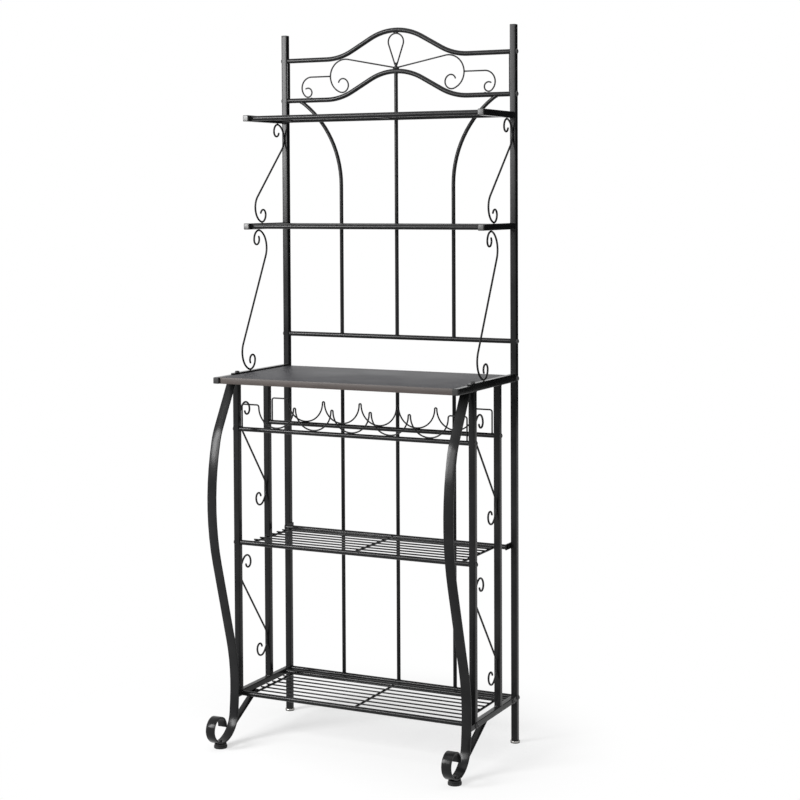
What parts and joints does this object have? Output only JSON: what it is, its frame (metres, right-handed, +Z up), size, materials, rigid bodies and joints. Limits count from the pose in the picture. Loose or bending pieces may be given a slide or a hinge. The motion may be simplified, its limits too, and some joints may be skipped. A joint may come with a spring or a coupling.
{
  "type": "bakers rack",
  "caption": "Black tubular steel bakers rack with a bell-arched scrolled crown, hutch shelves, a worktop over a wine rack and wire shelves, and scroll-footed legs.",
  "frame": {"origin": "centre of the bounding box's footprint, on the floor plane under the four feet", "axes": "+X to the rack's right, +Y to its back, +Z up"},
  "size_m": [0.69, 0.4258, 1.8398],
  "materials": {
    "black_powder_coat": "satin powder coat",
    "worktop_laminate": "satin charcoal laminate",
    "black_plastic": "satin",
    "bright_glide": "gloss"
  },
  "bodies": {
    "rack": {"crown_rail_upper": "black_powder_coat", "crown_rail_lower": "black_powder_coat", "crown_ornament": "black_powder_coat", "back_rod_middle": "black_powder_coat", "hutch_rail": "black_powder_coat", "lower_back_panel": "black_powder_coat", "top_shelf": "black_powder_coat", "hutch_shelf": "black_powder_coat", "wine_rack_front": "black_powder_coat", "wine_rack_rear": "black_powder_coat", "middle_shelf": "black_powder_coat", "bottom_shelf": "black_powder_coat", "back_rod_left": "black_powder_coat", "upright_left": "black_powder_coat", "crown_end_bar_left": "black_powder_coat", "hutch_scroll_upper_left": "black_powder_coat", "hutch_scroll_lower_left": "black_powder_coat", "hutch_bar_left": "black_powder_coat", "hutch_bar_bolt_left": "black_powder_coat", "table_rail_left": "black_powder_coat", "front_post_left": "black_powder_coat", "middle_post_left": "black_powder_coat", "bottom_rail_left": "black_powder_coat", "frame_scroll_upper_left": "black_powder_coat", "frame_scroll_lower_left": "black_powder_coat", "leg_left": "black_powder_coat", "hutch_rail_bolt_left": "black_powder_coat", "back_rod_right": "black_powder_coat", "upright_right": "black_powder_coat", "crown_end_bar_right": "black_powder_coat", "hutch_scroll_upper_right": "black_powder_coat", "hutch_scroll_lower_right": "black_powder_coat", "hutch_bar_right": "black_powder_coat", "hutch_bar_bolt_right": "black_powder_coat", "table_rail_right": "black_powder_coat", "front_post_right": "black_powder_coat", "middle_post_right": "black_powder_coat", "bottom_rail_right": "black_powder_coat", "frame_scroll_upper_right": "black_powder_coat", "frame_scroll_lower_right": "black_powder_coat", "leg_right": "black_powder_coat", "hutch_rail_bolt_right": "black_powder_coat", "worktop_board": "worktop_laminate", "upright_cap_left": "black_plastic", "table_plug_left": "black_plastic", "top_shelf_plug_left": "black_plastic", "hutch_shelf_plug_left": "black_plastic", "upright_cap_right": "black_plastic", "table_plug_right": "black_plastic", "top_shelf_plug_right": "black_plastic", "hutch_shelf_plug_right": "black_plastic"},
    "front_foot_left": {"front_foot_left": "black_plastic"},
    "front_foot_right": {"front_foot_right": "black_plastic"},
    "rear_foot_left": {"rear_foot_left": "bright_glide"},
    "rear_foot_right": {"rear_foot_right": "bright_glide"}
  },
  "joints": [
    {"name": "front_foot_left_screw", "type": "slide", "parent": "rack", "child": "front_foot_left", "axis": [0, 0, -1], "range_m": [0, 0.005]},
    {"name": "front_foot_right_screw", "type": "slide", "parent": "rack", "child": "front_foot_right", "axis": [0, 0, -1], "range_m": [0, 0.005]},
    {"name": "rear_foot_left_screw", "type": "slide", "parent": "rack", "child": "rear_foot_left", "axis": [0, 0, -1], "range_m": [0, 0.01]},
    {"name": "rear_foot_right_screw", "type": "slide", "parent": "rack", "child": "rear_foot_right", "axis": [0, 0, -1], "range_m": [0, 0.01]}
  ]
}
